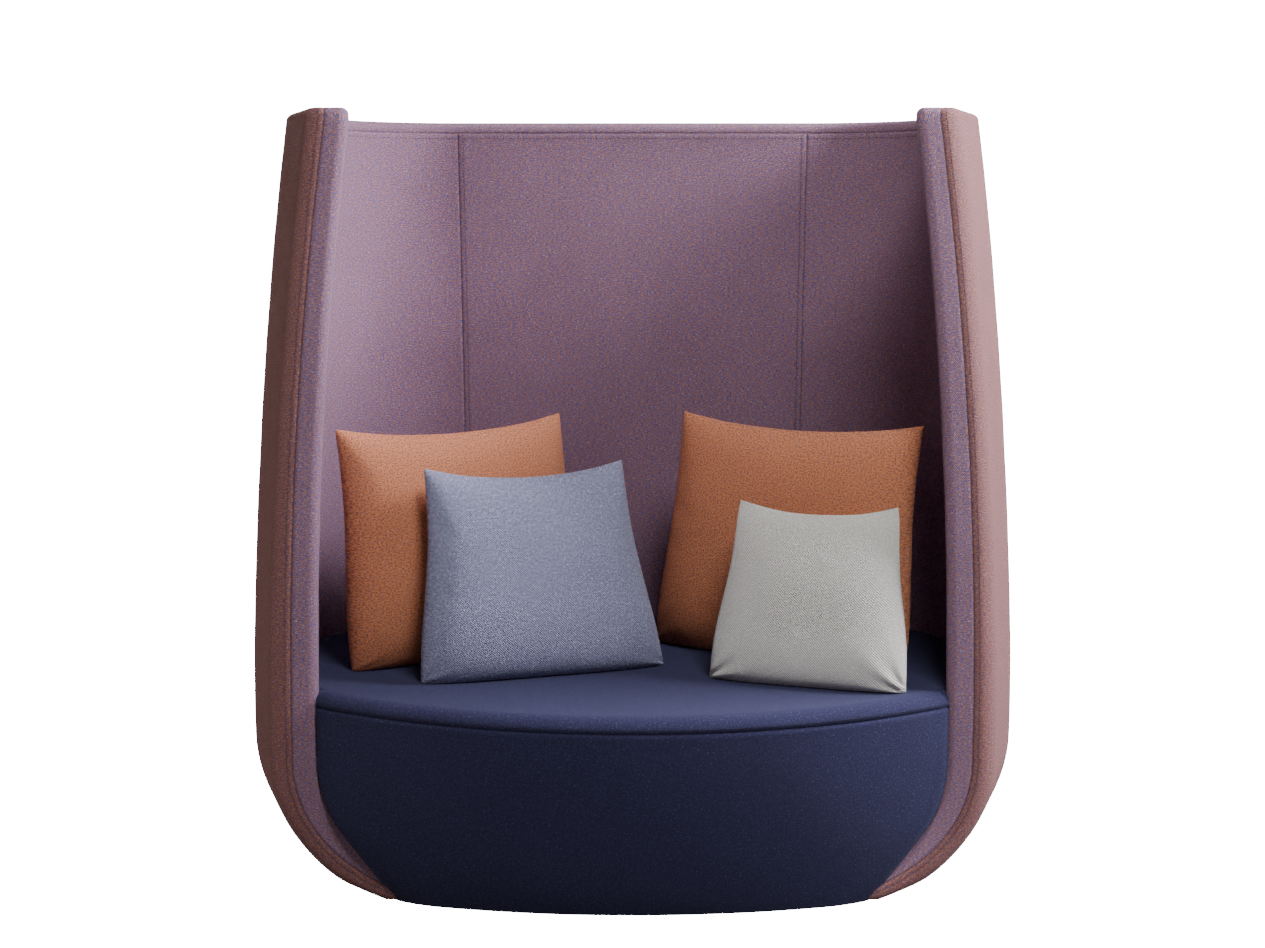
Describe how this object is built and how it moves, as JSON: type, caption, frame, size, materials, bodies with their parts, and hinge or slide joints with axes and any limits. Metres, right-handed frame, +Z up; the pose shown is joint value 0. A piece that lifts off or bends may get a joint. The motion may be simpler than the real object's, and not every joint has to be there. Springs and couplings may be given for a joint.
{
  "type": "sofa",
  "caption": "High-backed sofa whose upholstered shell wraps round a deep seat with a bowed front, with loose scatter cushions.",
  "frame": {"origin": "on the floor under the middle of the sofa's bounding box", "axes": "+X to the sitter's left-hand side seen from the front (viewer's right), +Y to the back, +Z up; the front faces -Y"},
  "size_m": [1.584, 0.92, 1.55],
  "materials": {
    "shell_fabric": "two-tone woven, soft",
    "seat_fabric": "dark navy woven",
    "rust_fabric": "coarse woven",
    "blue_fabric": "fine check weave",
    "grey_fabric": "fine weave",
    "foam": "open-cell foam",
    "cushion_fill": "fibre filling",
    "plywood": "bare plywood",
    "timber": "bare timber",
    "webbing": "elastic webbing",
    "dust_cloth": "black non-woven",
    "glide_plastic": "moulded",
    "screw_steel": "zinc plated"
  },
  "bodies": {
    "sofa": {"back_rib_left": "timber", "back_rib_middle": "timber", "back_rib_right": "timber", "base_board": "plywood", "corner_rib_rear_left": "timber", "corner_rib_rear_right": "timber", "corner_rib_side_left": "timber", "corner_rib_side_right": "timber", "dust_cover": "dust_cloth", "edge_band_left": "shell_fabric", "edge_band_right": "shell_fabric", "edge_roll_left": "shell_fabric", "edge_roll_right": "shell_fabric", "fascia_board": "plywood", "fascia_cover": "seat_fabric", "fascia_foam": "foam", "front_post_left": "timber", "front_post_right": "timber", "glide_screws": "screw_steel", "glides": "glide_plastic", "inner_foam_back": "foam", "inner_foam_left": "foam", "inner_foam_right": "foam", "inner_skin_back": "plywood", "inner_skin_left": "plywood", "inner_skin_right": "plywood", "lining_back": "shell_fabric", "lining_left": "shell_fabric", "lining_right": "shell_fabric", "outer_cover_back": "shell_fabric", "outer_cover_left": "shell_fabric", "outer_cover_right": "shell_fabric", "outer_wadding_back": "foam", "outer_wadding_left": "foam", "outer_wadding_right": "foam", "partition_left": "plywood", "partition_middle": "plywood", "partition_right": "plywood", "seat_cover": "seat_fabric", "seat_foam": "foam", "seat_frame": "plywood", "seat_rail": "timber", "seat_webbing": "webbing", "top_band": "shell_fabric", "top_rail": "timber"},
    "cushion_rust_left": {"cushion_rust_left_cover": "rust_fabric", "cushion_rust_left_pad": "cushion_fill"},
    "cushion_rust_right": {"cushion_rust_right_cover": "rust_fabric", "cushion_rust_right_pad": "cushion_fill"},
    "cushion_blue": {"cushion_blue_cover": "blue_fabric", "cushion_blue_pad": "cushion_fill"},
    "cushion_grey": {"cushion_grey_cover": "grey_fabric", "cushion_grey_pad": "cushion_fill"}
  },
  "joints": [
    {"name": "cushion_rust_left_lift", "type": "slide", "parent": "sofa", "child": "cushion_rust_left", "axis": [0.0698, -0.0199, 0.9974], "range_m": [0, 1.14]},
    {"name": "cushion_rust_right_lift", "type": "slide", "parent": "sofa", "child": "cushion_rust_right", "axis": [-0.0599, -0.0299, 0.9978], "range_m": [0, 1.14]},
    {"name": "cushion_blue_lift", "type": "slide", "parent": "sofa", "child": "cushion_blue", "axis": [0, -0.9404, 0.3401], "range_m": [0, 0.9]},
    {"name": "cushion_grey_lift", "type": "slide", "parent": "sofa", "child": "cushion_grey", "axis": [0, -0.9404, 0.3401], "range_m": [0, 0.9]}
  ]
}
